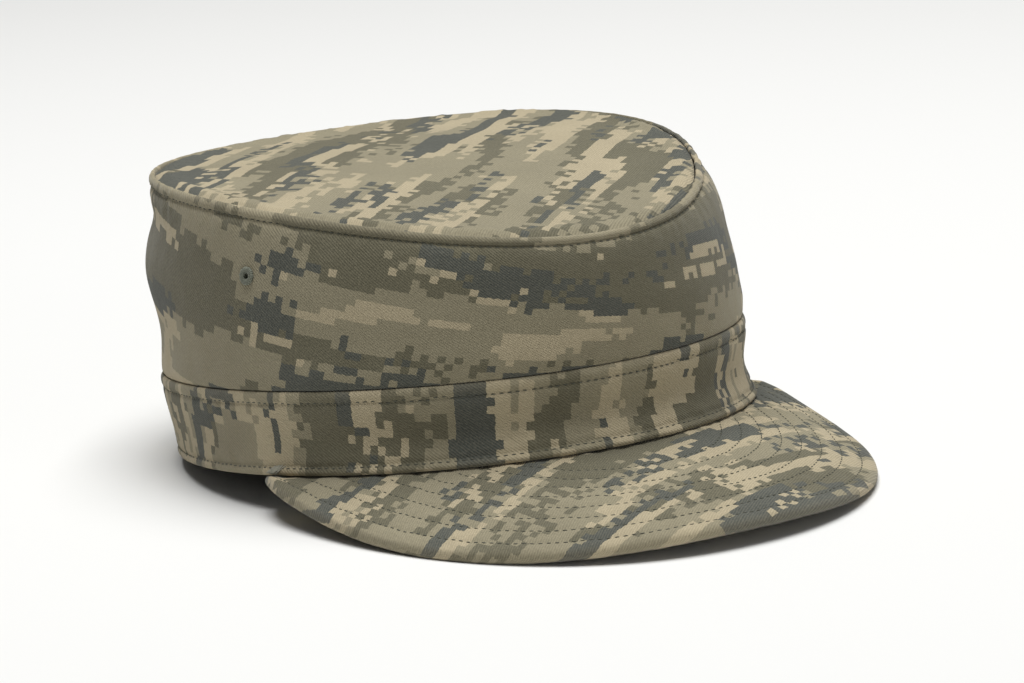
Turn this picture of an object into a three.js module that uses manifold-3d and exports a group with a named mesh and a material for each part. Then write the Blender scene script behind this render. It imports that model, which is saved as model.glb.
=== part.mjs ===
// A soft peaked field cap in printed cotton twill: an oval top panel, a tall side wall with a
// folded welt, a separate band round its foot, a stiffened peak and a sewn eyelet on each side.
// Millimetres, +Z up. The peak points to -Y and the wearer's right is -X. The origin is under
// the middle of the cap, on the floor, where the cap stands on the back of its band and on the
// two low stretches of the peak's edge.
//
// A bearing is an angle round the head: 0 at the front, growing towards the wearer's right.

import * as THREE from 'three';
import { ParametricGeometry } from 'three/addons/geometries/ParametricGeometry.js';
import { mergeVertices } from 'three/addons/utils/BufferGeometryUtils.js';
import Module from 'manifold-3d';

const { clamp, degToRad, euclideanModulo, lerp } = THREE.MathUtils;

// The head's middle lies this far behind the middle of the whole cap.
const HEAD_CENTRE_Y = 28.8;

// The three oval rings that the side of the cap runs through. `back` moves a ring's middle
// towards the back of the head, `narrowing` is the share by which it is narrower in front.
// Its height is height + frontLift * cos(bearing) + sideLift * sin(bearing) squared.
const FOOT = {
  halfWidth: 91.8, halfLength: 98.2, back: -1.6, narrowing: 0,
  height: 8.3, frontLift: 10.4, sideLift: 0.2,
};
const BAND_TOP = {
  halfWidth: 91.7, halfLength: 100.7, back: 4.6, narrowing: 0,
  height: 33.0, frontLift: 10.5, sideLift: 1.1,
};
const TOP_SEAM = {
  halfWidth: 84.0, halfLength: 95.4, back: 6.1, narrowing: 0.136,
  height: 86.9, frontLift: -3.7, sideLift: 6.6,
};

// Where the cloth stands out from the straight line between two rings (out, in mm) or falls
// in. `share` is the height: -1 at the foot, 0 at the band's top, 1 at the top seam.
// `round` (degrees) and `high` (share) say how far each swell or dent reaches.
const SWELLS = [
  { name: 'waist of the band in front', bearing: 0, share: -0.62, out: -2.7, round: 90, high: 0.3 },
  { name: 'full back of the band', bearing: 122, share: -0.3, out: 1.6, round: 22, high: 0.6 },
  { name: 'slack above the band', bearing: 122, share: 0.23, out: -1.8, round: 24, high: 0.16 },
  { name: 'full back of the crown', bearing: 122, share: 0.55, out: 1.1, round: 24, high: 0.14 },
  { name: 'dent under the back welt', bearing: 125, share: 0.8, out: -2.2, round: 16, high: 0.09 },
  { name: 'flat left front corner', bearing: -58, share: 1, out: -1.6, round: 26, high: 0.1 },
  { name: 'full left front', bearing: -55, share: 0.75, out: 0.7, round: 30, high: 0.15 },
  { name: 'hollow over the right temple', bearing: 48, share: 0.3, out: -0.9, round: 20, high: 0.2 },
];

// Closed sections, run round the head. Each row is a point of the section: `share` as above,
// `up` mm further along the cloth, and `out` mm out from the line between the rings.
const SIDE_SECTION = [
  { share: -0.8, up: 0, out: -2.4 },
  { share: -0.6, up: 0, out: -2.4 },
  { share: -0.4, up: 0, out: -2.4 },
  { share: -0.2, up: 0, out: -2.4 },
  { share: 0, up: 0, out: -2.4 },
  { share: 0.02, up: 0, out: -1.9 },
  { share: 0.05, up: 0, out: -0.3 },
  { share: 0.14, up: 0, out: 0.9 },
  { share: 0.3, up: 0, out: 2.1 },
  { share: 0.5, up: 0, out: 3.0 },
  { share: 0.72, up: 0, out: 3.0 },
  { share: 1, up: -7, out: 2.6 },
  { share: 1, up: -4, out: 2.1 },
  { share: 1, up: -3.1, out: 1.6 },
  { share: 1, up: -2, out: 2.0 },
  { share: 1, up: -0.6, out: 1.8 },
  { share: 1, up: 0, out: 1.0 },
  { share: 1, up: -0.4, out: 0.3 },
  { share: 1, up: -1.4, out: 0.1 },
  { share: 1, up: -3.6, out: 0.2 },
  { share: 1, up: -7, out: 1.1 },
  { share: 0.72, up: 0, out: 1.5 },
  { share: 0.5, up: 0, out: 1.5 },
  { share: 0.3, up: 0, out: 0.6 },
  { share: 0.08, up: 0, out: -1.6 },
  { share: 0, up: 0, out: -3.9 },
  { share: -0.4, up: 0, out: -3.9 },
  { share: -0.8, up: 0, out: -3.9 },
];
const BAND_SECTION = [
  { share: -1, up: 0, out: -0.4 },
  { share: -1, up: 0.6, out: 0.1 },
  { share: -1, up: 1.8, out: 0.2 },
  { share: -1, up: 2.8, out: -0.3 },
  { share: -1, up: 4, out: 0 },
  { share: -0.6, up: 0, out: 0 },
  { share: -0.35, up: 0, out: 0 },
  { share: 0, up: -3.9, out: -0.3 },
  { share: 0, up: -2.8, out: 0.1 },
  { share: 0, up: -0.7, out: 0.1 },
  { share: 0, up: 0, out: -0.5 },
  { share: 0, up: 0, out: -1.4 },
  { share: 0, up: -0.8, out: -2 },
  { share: -0.2, up: 0, out: -2 },
  { share: -0.4, up: 0, out: -2 },
  { share: -0.6, up: 0, out: -2 },
  { share: -0.8, up: 0, out: -2 },
  { share: -1, up: 1, out: -2 },
  { share: -1, up: 0, out: -1.8 },
];
const STEPS_ROUND = 72;

// The thickness of the crown's cloth, as the sections above give it for the side wall.
const WALL_THICKNESS = 1.5;

// The top panel is domed, and its edge dips behind the welt.
const PANEL = { dome: 3, dip: 1.3, dipSharpness: 12, seamGap: 0.25 };
const PANEL_REACHES = [0, 0.3, 0.6, 0.82, 0.93, 0.98, 1];

// The peak. Its edge is a rounded oval, halfWidth wide and reach long, that starts cornerY
// in front of the head's middle. It arches down to both sides and slopes down to its tip.
const PEAK = {
  halfWidth: 94.4, reach: 132.8, cornerY: 31.2, sideRoundness: 2.11, tipRoundness: 2.44,
  tipHeight: 6.0, slope: 0.224, arch: 0.00256, thickness: 3.6, bow: 1.2,
};
// The peak runs round the foot of the band to this bearing on both sides, and tucks in under
// it. Its corners are rounded over the last part of each side.
const PEAK_BEARING = 74.5;
const PEAK_TUCK = 3.4;
const PEAK_HEM_INSET = 0.2;
const PEAK_CLEARANCE = 0.35;
const PEAK_CORNER_START = 0.95;
const PEAK_STATIONS = 56;
const PEAK_SHARES = [0.25, 0.5, 0.75, 0.92];
const LIP_STEPS = 4;

// A sewn eyelet: a thread ring through a small hole in the side wall, on both sides.
const EYELET = {
  bearing: 76, share: 0.64, clothMiddle: 2.25,
  hole: 1, ring: 2.9, neck: 1.6, clearance: 0.45, thread: 0.8,
};
const EYELET_STEPS = 16;
const LATHE_AXIS = new THREE.Vector3(0, 1, 0);

const COLOURS = {
  top: 0xa39c88, side: 0x6b6655, band: 0x66614f, peak: 0x8e8a79, thread: 0x6f7162,
};
const FABRIC_ROUGHNESS = 0.92;

function ringPoint(ring, bearing) {
  const front = Math.cos(bearing);
  const side = Math.sin(bearing);
  return new THREE.Vector3(
    -ring.halfWidth * side * (1 - ring.narrowing * front),
    HEAD_CENTRE_Y + ring.back - ring.halfLength * front,
    Math.max(0, ring.height + ring.frontLift * front + ring.sideLift * side * side),
  );
}

function outward(bearing) {
  const x = -BAND_TOP.halfLength * Math.sin(bearing);
  const y = -BAND_TOP.halfWidth * Math.cos(bearing);
  return new THREE.Vector3(x, y, 0).normalize();
}

function swell(bearing, share) {
  let out = 0;
  for (const row of SWELLS) {
    const apart = euclideanModulo(bearing - degToRad(row.bearing) + Math.PI, 2 * Math.PI);
    const round = (apart - Math.PI) / degToRad(row.round);
    const high = (share - row.share) / row.high;
    out += row.out * Math.exp(-round * round - high * high);
  }
  return out;
}

// A point of the side of the cap, at a height along the cloth and a distance out from it.
function wallPoint(bearing, { share, up, out }) {
  const inBand = share <= 0;
  const low = ringPoint(inBand ? FOOT : BAND_TOP, bearing);
  const high = ringPoint(inBand ? BAND_TOP : TOP_SEAM, bearing);
  const upward = high.clone().sub(low).normalize();
  const point = low.lerp(high, inBand ? share + 1 : share);
  point.addScaledVector(upward, up);
  return point.addScaledVector(outward(bearing), out + swell(bearing, share));
}

// Closes a surface into a solid: equal points become one, and faces without area go.
function closeSurface(geometry) {
  geometry.deleteAttribute('normal');
  geometry.deleteAttribute('uv');
  const merged = mergeVertices(geometry, 1e-4);
  const kept = [];
  for (let i = 0; i < merged.index.count; i += 3) {
    const [a, b, c] = [0, 1, 2].map((k) => merged.index.getX(i + k));
    if (a !== b && b !== c && c !== a) {
      kept.push(a, b, c);
    }
  }
  merged.setIndex(kept);
  merged.computeVertexNormals();
  return merged;
}

// A wall that runs round the head with one section. It runs from right to left in front, so
// that a section that climbs its outer face has that face pointing out.
function ringWall(section) {
  const surface = (u, v, target) => {
    const row = section[Math.round(v * section.length) % section.length];
    target.copy(wallPoint(2 * Math.PI * (1 - u % 1), row));
  };
  return closeSurface(new ParametricGeometry(surface, STEPS_ROUND, section.length));
}

// The top panel, at a share of the way from its middle to its edge.
function panelPoint(bearing, reach, depth) {
  const rim = wallPoint(bearing, { share: 1, up: 0, out: -PANEL.seamGap });
  const front = Math.cos(bearing);
  const doubleTurn = Math.cos(2 * bearing);
  const taut = TOP_SEAM.height + TOP_SEAM.frontLift * reach * front
    + TOP_SEAM.sideLift * (1 - reach * reach * doubleTurn) / 2;
  const domed = PANEL.dome * (1 - reach * reach) - PANEL.dip * reach ** PANEL.dipSharpness;
  return new THREE.Vector3(
    rim.x * reach,
    lerp(HEAD_CENTRE_Y + TOP_SEAM.back, rim.y, reach),
    taut + domed - depth,
  );
}

function topPanel() {
  const rows = PANEL_REACHES.map((reach) => ({ reach, depth: 0 }));
  rows.push(...PANEL_REACHES.map((reach) => ({ reach, depth: WALL_THICKNESS })).reverse());
  const surface = (u, v, target) => {
    const row = rows[Math.round(v * (rows.length - 1))];
    target.copy(panelPoint(2 * Math.PI * (u % 1), row.reach, row.depth));
  };
  return closeSurface(new ParametricGeometry(surface, STEPS_ROUND, rows.length - 1));
}

// The peak's outer edge, at half its thickness. The turn runs from -90 to 90 degrees.
function peakEdge(turn) {
  const side = Math.sin(turn);
  const x = -PEAK.halfWidth * Math.sign(side) * Math.abs(side) ** (2 / PEAK.sideRoundness);
  const along = PEAK.reach * Math.max(0, Math.cos(turn)) ** (2 / PEAK.tipRoundness);
  const z = PEAK.tipHeight + PEAK.slope * (PEAK.reach - along) - PEAK.arch * x * x;
  return new THREE.Vector3(x, HEAD_CENTRE_Y - PEAK.cornerY - along, z);
}

// One section of the peak, from its tucked edge over the top, round the lip and back below.
// The station runs from -1 at the left corner to 1 at the right one.
function peakSection(station) {
  const bearing = degToRad(PEAK_BEARING) * station;
  const corner = clamp((Math.abs(station) - PEAK_CORNER_START) / (1 - PEAK_CORNER_START), 0, 1);
  const fullness = Math.sqrt(1 - corner * corner);
  const half = PEAK.thickness / 2 * fullness;
  const drop = new THREE.Vector3(0, 0, -PEAK_CLEARANCE - PEAK.thickness / 2);
  const tuck = wallPoint(bearing, { share: -1, up: 0, out: -PEAK_TUCK }).add(drop);
  const hem = wallPoint(bearing, { share: -1, up: 0, out: -PEAK_HEM_INSET }).add(drop);
  const edge = hem.clone().lerp(peakEdge(degToRad(90) * station), fullness);
  const length = hem.distanceTo(edge);
  const forward = edge.sub(hem).normalize();
  const upward = new THREE.Vector3(0, 0, 1).projectOnPlane(forward).normalize();
  const lipMiddle = Math.max(0, length - half);
  const at = (distance, height) => {
    const share = length > 0 ? distance / length : 0;
    const bow = new THREE.Vector3(0, 0, PEAK.bow * 4 * share * (1 - share) * fullness);
    return hem.clone().addScaledVector(forward, distance).addScaledVector(upward, height).add(bow);
  };
  const face = (height) => [
    tuck.clone().setZ(tuck.z + height),
    hem.clone().setZ(hem.z + height),
    ...PEAK_SHARES.map((share) => at(lipMiddle * share, height)),
  ];
  const lip = [];
  for (let i = 0; i <= LIP_STEPS; i += 1) {
    const turn = Math.PI * (0.5 - i / LIP_STEPS);
    lip.push(at(lipMiddle + half * Math.cos(turn), half * Math.sin(turn)));
  }
  return [...face(half), ...lip, ...face(-half).reverse()];
}

function peak() {
  const sections = [];
  for (let i = 0; i <= PEAK_STATIONS; i += 1) {
    sections.push(peakSection(Math.sin(Math.PI * (i / PEAK_STATIONS - 0.5))));
  }
  const points = sections[0].length;
  const surface = (u, v, target) => {
    const section = sections[Math.round(u * PEAK_STATIONS)];
    target.copy(section[Math.round(v * points) % points]);
  };
  return closeSurface(new ParametricGeometry(surface, PEAK_STATIONS, points));
}

// The place of an eyelet in the middle of the side wall's cloth, and the way the cloth faces.
function eyeletSeat(bearing) {
  const onCloth = (turn, rise) => wallPoint(bearing + turn, {
    share: EYELET.share + rise, up: 0, out: EYELET.clothMiddle,
  });
  const nudge = 0.02;
  const place = onCloth(0, 0);
  const round = onCloth(nudge, 0).sub(onCloth(-nudge, 0));
  const upward = onCloth(0, nudge).sub(onCloth(0, -nudge));
  const normal = upward.cross(round).normalize();
  return { place, turn: new THREE.Quaternion().setFromUnitVectors(LATHE_AXIS, normal) };
}

// A ring of thread with a small hole, a neck through the cloth and a rim on both its faces.
function eyeletRing() {
  const { hole, ring, neck, thread } = EYELET;
  const inner = WALL_THICKNESS / 2 + EYELET.clearance;
  const outer = inner + thread;
  const soft = thread / 2;
  const upperHalf = [
    [hole, outer - soft], [hole + soft, outer], [ring - soft, outer], [ring, outer - soft],
    [ring, inner], [neck, inner],
  ];
  const lowerHalf = upperHalf.map(([radius, height]) => [radius, -height]).reverse();
  const loop = [...upperHalf, ...lowerHalf, upperHalf[0]].reverse();
  const profile = loop.map(([radius, height]) => new THREE.Vector2(radius, height));
  return closeSurface(new THREE.LatheGeometry(profile, EYELET_STEPS));
}

function toSolid(wasm, geometry) {
  const mesh = new wasm.Mesh({
    numProp: 3,
    vertProperties: Float32Array.from(geometry.attributes.position.array),
    triVerts: Uint32Array.from(geometry.index.array),
  });
  return new wasm.Manifold(mesh);
}

function toGeometry(solid) {
  const mesh = solid.getMesh();
  const geometry = new THREE.BufferGeometry();
  geometry.setAttribute('position', new THREE.BufferAttribute(mesh.vertProperties, 3));
  geometry.setIndex(new THREE.BufferAttribute(mesh.triVerts, 1));
  geometry.computeVertexNormals();
  return geometry;
}

// The side wall with a round hole for each eyelet.
function sideWall(wasm, seats) {
  let solid = toSolid(wasm, ringWall(SIDE_SECTION));
  for (const seat of seats) {
    const radius = EYELET.neck + EYELET.clearance;
    const punch = new THREE.CylinderGeometry(radius, radius, 4 * WALL_THICKNESS, EYELET_STEPS);
    const placed = new THREE.Matrix4().compose(seat.place, seat.turn, new THREE.Vector3(1, 1, 1));
    punch.applyMatrix4(placed);
    solid = solid.subtract(toSolid(wasm, closeSurface(punch)));
  }
  return toGeometry(solid);
}

function cloth(name, geometry, color) {
  const material = new THREE.MeshStandardMaterial({
    color, roughness: FABRIC_ROUGHNESS, metalness: 0,
  });
  const mesh = new THREE.Mesh(geometry, material);
  mesh.name = name;
  return mesh;
}

const wasm = await Module();
wasm.setup();

const eyeletSeats = {
  vent_eyelet_right: eyeletSeat(degToRad(EYELET.bearing)),
  vent_eyelet_left: eyeletSeat(degToRad(-EYELET.bearing)),
};

const cap = new THREE.Group();
cap.add(cloth('crown_top', topPanel(), COLOURS.top));
cap.add(cloth('crown_side', sideWall(wasm, Object.values(eyeletSeats)), COLOURS.side));
cap.add(cloth('head_band', ringWall(BAND_SECTION), COLOURS.band));
cap.add(cloth('peak', peak(), COLOURS.peak));
for (const [name, seat] of Object.entries(eyeletSeats)) {
  const eyelet = cloth(name, eyeletRing(), COLOURS.thread);
  eyelet.position.copy(seat.place);
  eyelet.quaternion.copy(seat.turn);
  cap.add(eyelet);
}

export default cap;
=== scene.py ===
"""A soft peaked field cap in printed cotton twill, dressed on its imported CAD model.

Laid out as an add-on: one operator makes each piece, and main() calls them in order.
Shapes are worked out in millimetres and become metres as they go into a mesh.
A bearing is an angle round the head: 0 at the front, growing towards the wearer's right.
"""

import math

import bmesh
import bpy
from bpy.props import FloatProperty, FloatVectorProperty, IntProperty, PointerProperty
from mathutils import Matrix, Vector, noise
from mathutils.bvhtree import BVHTree
from mathutils.kdtree import KDTree


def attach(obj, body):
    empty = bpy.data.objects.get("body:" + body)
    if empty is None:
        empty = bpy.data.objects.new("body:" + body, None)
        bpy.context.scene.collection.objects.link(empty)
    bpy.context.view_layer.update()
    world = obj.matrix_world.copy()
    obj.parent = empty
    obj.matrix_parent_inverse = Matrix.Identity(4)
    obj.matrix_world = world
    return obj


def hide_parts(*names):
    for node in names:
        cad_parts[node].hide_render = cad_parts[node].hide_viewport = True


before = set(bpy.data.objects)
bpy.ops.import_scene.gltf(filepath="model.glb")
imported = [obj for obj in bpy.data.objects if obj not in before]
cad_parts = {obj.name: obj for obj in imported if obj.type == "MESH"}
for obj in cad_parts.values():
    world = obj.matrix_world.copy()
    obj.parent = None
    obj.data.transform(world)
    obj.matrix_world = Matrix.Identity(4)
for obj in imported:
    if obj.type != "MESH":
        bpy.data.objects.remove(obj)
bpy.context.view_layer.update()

bl_info = {
    "name": "Peaked field cap",
    "version": (1, 0, 0),
    "blender": (4, 5, 0),
    "location": "3D View > Sidebar > Field cap",
    "description": "Makes a soft peaked cap of printed cotton twill and a plain studio",
    "category": "Add Mesh",
}

MM = 0.001

# The head's middle lies this far behind the middle of the whole cap.
HEAD_CENTRE_Y = 28.8

# The oval rings of the cap's side: half width, half length, how far back, narrowing in front,
# height, and how much higher it is in front and at the sides.
FOOT = (91.8, 98.2, -1.6, 0.0, 8.3, 10.4, 0.2)
BAND_TOP = (91.7, 100.7, 4.6, 0.0, 33.0, 10.5, 1.1)
TOP_SEAM = (84.0, 95.4, 6.1, 0.136, 86.9, -3.7, 6.6)

# The mean length of cloth between the foot and the band's top, and up to the top seam.
BAND_HEIGHT = 25.5
WALL_HEIGHT = 53.5
MEAN_RADIUS = 96.2

# Swells and dents of the cloth: bearing, share of the height, out, degrees round, share high.
SWELLS = (
    (0, -0.62, -2.7, 90, 0.3),
    (122, -0.3, 1.6, 22, 0.6),
    (122, 0.23, -1.8, 24, 0.16),
    (122, 0.55, 1.1, 24, 0.14),
    (125, 0.8, -1.6, 16, 0.09),
    (-58, 1, -1.6, 26, 0.1),
    (-55, 0.75, 0.7, 30, 0.15),
    (48, 0.3, -0.9, 20, 0.2),
)

# Closed sections run round the head. Each row: share of the height, mm further up, mm out,
# and how much paler the colour is painted there, for scuffing and a painted highlight on
# folded edges.
SIDE_OUTSIDE = (
    (-0.8, 0, -2.4, 0), (-0.4, 0, -2.4, 0), (0, -0.5, -2.3, 0), (0, 0.1, -1.5, 0),
    (0.014, 0, -0.3, 0), (0.1, 0, 0.7, 0), (0.3, 0, 2.1, 0), (0.5, 0, 3.0, 0),
    (0.72, 0, 3.0, 0), (1, -7, 2.6, 0), (1, -4.2, 2.1, 0.1), (1, -3.1, 1.4, 0),
    (1, -2.1, 2.1, 0.5), (1, -0.7, 1.9, 0.9), (1, 0, 1.0, 1), (1, -0.5, 0.3, 0.3),
)
SIDE_INSIDE = (
    (1, -1.4, 0.1, 0), (1, -3.6, 0.2, 0), (1, -7, 1.1, 0), (0.72, 0, 1.5, 0),
    (0.5, 0, 1.5, 0), (0.3, 0, 0.6, 0), (0.08, 0, -1.6, 0), (0, 0, -3.9, 0),
    (-0.4, 0, -3.9, 0), (-0.8, 0, -3.9, 0),
)
BAND_OUTSIDE = (
    (-1, 0, -0.4, 0.7), (-1, 0.6, 0.15, 0.9), (-1, 1.8, 0.2, 0.5), (-1, 2.8, -0.4, 0),
    (-1, 4, 0, 0), (-0.6, 0, 0, 0), (-0.35, 0, 0, 0), (0, -4.8, 0, 0), (0, -3.8, -0.4, 0),
    (0, -2.8, 0.15, 0.3), (0, -0.9, 0.15, 0.6), (0, -0.1, -0.4, 0.9), (0, 0, -1.3, 0.4),
)
BAND_INSIDE = (
    (0, -0.8, -2, 0), (-0.2, 0, -2, 0), (-0.5, 0, -2, 0), (-0.8, 0, -2, 0),
    (-1, 1, -2, 0), (-1, 0, -1.7, 0.5),
)
CLOTH_THICKNESS = 1.5

# Steps round the head, and how far apart the rows of the side wall and of the band are.
RING_STEPS = 440
SIDE_SPACING = 1.5
BAND_SPACING = 1.2

# The top panel: its dome, the dip behind the welt, and its steps round and outwards.
PANEL_DOME = 3.0
PANEL_DIP = 0.9
PANEL_DIP_SHARPNESS = 12
PANEL_STEPS = 400
PANEL_REACHES = [i / 40 for i in range(38)] + [0.9375, 0.95, 0.965, 0.98, 0.99, 1]

# The peak's outer edge, slope and section, as in the CAD model.
PEAK_HALF_WIDTH = 94.4
PEAK_REACH = 132.8
PEAK_CORNER_Y = 31.2
PEAK_SIDE_ROUNDNESS = 2.11
PEAK_TIP_ROUNDNESS = 2.44
PEAK_TIP_HEIGHT = 6.0
PEAK_SLOPE = 0.224
PEAK_ARCH = 0.00256
PEAK_THICKNESS = 3.6
PEAK_BOW = 1.2
PEAK_BEARING = 74.5
PEAK_TUCK = 3.4
PEAK_HEM_INSET = 0.2
PEAK_CLEARANCE = 0.35
PEAK_CORNER_START = 0.95
PEAK_STATIONS = 240
PEAK_FACE_STEPS = 76
LIP_STEPS = 8
RIM_STEP = 0.1

# The peak hangs a little lower beyond this far to the wearer's left.
DROOP_START = 78
DROOP_REACH = 16
DROOP_DEPTH = 2.0

# The under cover is cut from another part of the printed cloth, this far away.
UNDER_COVER_SHIFT = 400

# Less than this far to the side, the peak's edge counts as its front, and past it as a side.
PEAK_FRONT_HALF = 60

# How far the band's hem stands over the peak, and a height that is clear of the cap.
HEM_COVER = 1.2
CLEAR_HEIGHT = 100

# How deep the peak's rows of stitches pull in, and how wide each groove is.
GROOVE_DEPTH = 0.32
GROOVE_REACH = 0.9

# A sewn eyelet on each side, and the radius and depth of the hole that is cut for it.
EYELET_BEARING = 76
EYELET_SHARE = 0.64
EYELET_CLOTH_MIDDLE = 2.25
EYELET_STITCHES = 26
HOLE_RADIUS = 1.6
HOLE_DEPTH = 6

# How far from the cloth's middle an eyelet's threads come out of it, and the eyelet's half
# section. Each point: mm from its axis and mm from the cloth's middle.
EYELET_CLOTH_FACE = 0.85
EYELET_HALF = (
    (0.95, 0), (0.95, 1.25), (1.15, 1.5), (1.5, 1.6), (2.2, 1.6), (2.6, 1.48), (2.85, 1.2),
    (2.8, 0.75), (2.4, 0.65), (1.6, 0.65), (1.6, 0),
)

# How far a stitch stands out of the cloth.
STITCH_RISE = 0.08

# The rows round the head. Each row: piece, what it is sewn in, share of the height, mm
# further up and mm out.
RING_ROWS = (
    ("welt_stitches", "side_wall", 1, -3.1, 1.6),
    ("band_fold_stitches", "band", 0, -3.8, 0.3),
    ("band_hem_stitches", "band", -1, 2.8, 0.3),
    ("welt_stitches_inside", "side_wall", 1, -3.6, -0.6),
    ("band_fold_stitches_inside", "side_wall", 0, -3.8, -4.6),
    ("band_hem_stitches_inside", "band", -1, 2.8, -2.6),
)

# The bar tacks at the peak's corners: where they start, their step and slant in degrees
# round, how many stitches, their ends above the hem, length, thread and rise.
TACK_BEARING = 71.8
TACK_STEP = 0.3
TACK_SLANT = 1.9
TACK_STITCHES = 9
TACK_ENDS = (0.4, 4.2)
TACK_LENGTH = 4.6
TACK_THREAD = 0.5
TACK_RISE = 0.12

# The wearer's right and left, and which way a bearing grows there.
SIDES = (("right", 1), ("left", -1))

# How far ink creeps along the yarns, and the slant of the twill in degrees.
INK_CREEP = 0.9
TWILL_SLANT = 52

# The camera at the photograph's viewing angle: degrees round, above the floor and rolled,
# mm away, aside and up, and the lens and the sensor in mm.
CAMERA_TURN = -31.567
CAMERA_RISE = 12.645
CAMERA_ROLL = -3.309
CAMERA_AWAY = 1306.8
CAMERA_ASIDE = 16.895
CAMERA_UP = 33.328
CAMERA_LENS = 141.984
SENSOR_WIDTH = 36

# The studio in metres: half the floor's side, the room's light, and the soft boxes. Each
# box: name, place, side and power.
FLOOR_HALF = 6
ROOM_LIGHT = 0.1
SOFT_BOXES = (
    ("Overhead soft box", (0.15, 0.2, 2.6), 1.8, 88),
    ("Front soft box", (0.3, -2.2, 0.55), 1.0, 5.5),
)


def linear(code):
    """Turns an sRGB hex code into a linear colour."""
    channels = [int(code[i:i + 2], 16) / 255 for i in (1, 3, 5)]
    return [c / 12.92 if c <= 0.04045 else ((c + 0.055) / 1.055) ** 2.4 for c in channels]


class CapSizes(bpy.types.PropertyGroup):
    """Sizes of the sewing and the print."""

    stitch_length: FloatProperty(
        name="Stitch length", description="Length of one stitch on the face of the cloth",
        default=1.4 * MM, unit="LENGTH",
    )
    stitch_gap: FloatProperty(
        name="Stitch gap", description="Cloth between two stitches of a row",
        default=1.1 * MM, unit="LENGTH",
    )
    thread: FloatProperty(
        name="Thread", description="Thickness of the sewing thread",
        default=0.42 * MM, unit="LENGTH",
    )
    first_row: FloatProperty(
        name="First row", description="From the peak's lip to its outermost row of stitches",
        default=4.7 * MM, unit="LENGTH",
    )
    row_pitch: FloatProperty(
        name="Row pitch", description="From one row of the peak to the next",
        default=6.1 * MM, unit="LENGTH",
    )
    rows: IntProperty(
        name="Rows", description="Rows of stitches in the peak", default=8,
    )
    print_cell: FloatProperty(
        name="Print cell", description="Side of one square of the printed pattern",
        default=2.7 * MM, unit="LENGTH",
    )
    twill_pitch: FloatProperty(
        name="Twill pitch", description="From one rib of the twill to the next",
        default=0.78 * MM, unit="LENGTH",
    )


class CapColours(bpy.types.PropertyGroup):
    """Colours of the print, the thread and the floor."""

    sand: FloatVectorProperty(
        name="Sand", description="Palest colour of the print", subtype="COLOR",
        default=linear("#b1a589"),
    )
    sage: FloatVectorProperty(
        name="Sage", description="Ground colour of the print", subtype="COLOR",
        default=linear("#8f8871"),
    )
    olive: FloatVectorProperty(
        name="Olive", description="Brown green of the print", subtype="COLOR",
        default=linear("#656250"),
    )
    slate: FloatVectorProperty(
        name="Slate", description="Dark grey green of the stripes", subtype="COLOR",
        default=linear("#4d514c"),
    )
    reverse: FloatVectorProperty(
        name="Reverse", description="The cloth's unprinted inside", subtype="COLOR",
        default=linear("#9b9783"),
    )
    thread: FloatVectorProperty(
        name="Thread", description="Sewing thread", subtype="COLOR",
        default=linear("#55564a"),
    )
    eyelet_thread: FloatVectorProperty(
        name="Eyelet thread", description="Thread of the eyelets", subtype="COLOR",
        default=linear("#74776a"),
    )
    tack_thread: FloatVectorProperty(
        name="Tack thread", description="Paler thread of the peak's corners", subtype="COLOR",
        default=linear("#a5a394"),
    )
    floor: FloatVectorProperty(
        name="Floor", description="Studio floor", subtype="COLOR",
        default=linear("#e9e9e7"),
    )


def ring_point(ring, bearing):
    """A point of one of the cap's oval rings."""
    half_width, half_length, back, narrowing, height, front_lift, side_lift = ring
    front, side = math.cos(bearing), math.sin(bearing)
    return Vector((
        -half_width * side * (1 - narrowing * front),
        HEAD_CENTRE_Y + back - half_length * front,
        max(0, height + front_lift * front + side_lift * side * side),
    ))


def outward(bearing):
    """The level direction that the side of the cap faces."""
    return Vector((
        -BAND_TOP[1] * math.sin(bearing), -BAND_TOP[0] * math.cos(bearing), 0,
    )).normalized()


def swell(bearing, share):
    """How far the cloth stands out from the straight line between two rings."""
    out = 0
    for at, at_share, depth, round_reach, high_reach in SWELLS:
        apart = math.remainder(bearing - math.radians(at), 2 * math.pi)
        apart /= math.radians(round_reach)
        high = (share - at_share) / high_reach
        out += depth * math.exp(-apart * apart - high * high)
    return out


def wall_point(bearing, share, up, out):
    """A point of the side of the cap."""
    in_band = share <= 0
    low = ring_point(FOOT if in_band else BAND_TOP, bearing)
    high = ring_point(BAND_TOP if in_band else TOP_SEAM, bearing)
    upward = (high - low).normalized()
    point = low.lerp(high, share + 1 if in_band else share)
    return point + upward * up + outward(bearing) * (out + swell(bearing, share))


def cloth_height(share, up):
    """Millimetres along the cloth above the band's top."""
    return share * (BAND_HEIGHT if share < 0 else WALL_HEIGHT) + up


def bell(distance, reach):
    """1 at no distance, falling off smoothly."""
    return math.exp(-(distance / reach) ** 2)


def ripple(*place):
    """Smooth noise between -1 and 1."""
    return noise.noise(Vector(place))


def side_relief(bearing, height):
    """Slack, puckers and the back seam of the side wall, in mm out. Each is a depth, a ripple
    a few mm long, and the belt of cloth that it fades away from."""
    along = bearing * MEAN_RADIUS
    ring = Vector((math.cos(bearing), math.sin(bearing), 0))
    free = min(1, max(0, height / 6)) * min(1, max(0, (WALL_HEIGHT - height) / 5))
    slack = 0.7 * ripple(ring.x * 2.6, ring.y * 2.6, height / 17) * free
    below = max(0, WALL_HEIGHT - 3 - height)
    pucker = 0.55 * ripple(along / 2.7, below / 9, 4.2) * bell(below - 1.5, 4.5)
    welt = 0.16 * ripple(along / 1.9, 9.1, 2) * bell(WALL_HEIGHT - 1 - height, 1.6)
    gather = 0.8 * ripple(along / 8, height / 22, 7.7) * bell(height - 4, 6)
    back = MEAN_RADIUS * abs(abs(bearing) - math.pi)
    seam = (0.5 * bell(back - 2.2, 1.6) - 0.7 * bell(back, 0.7)) * free
    return slack + pucker + welt + gather * free + seam


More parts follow.
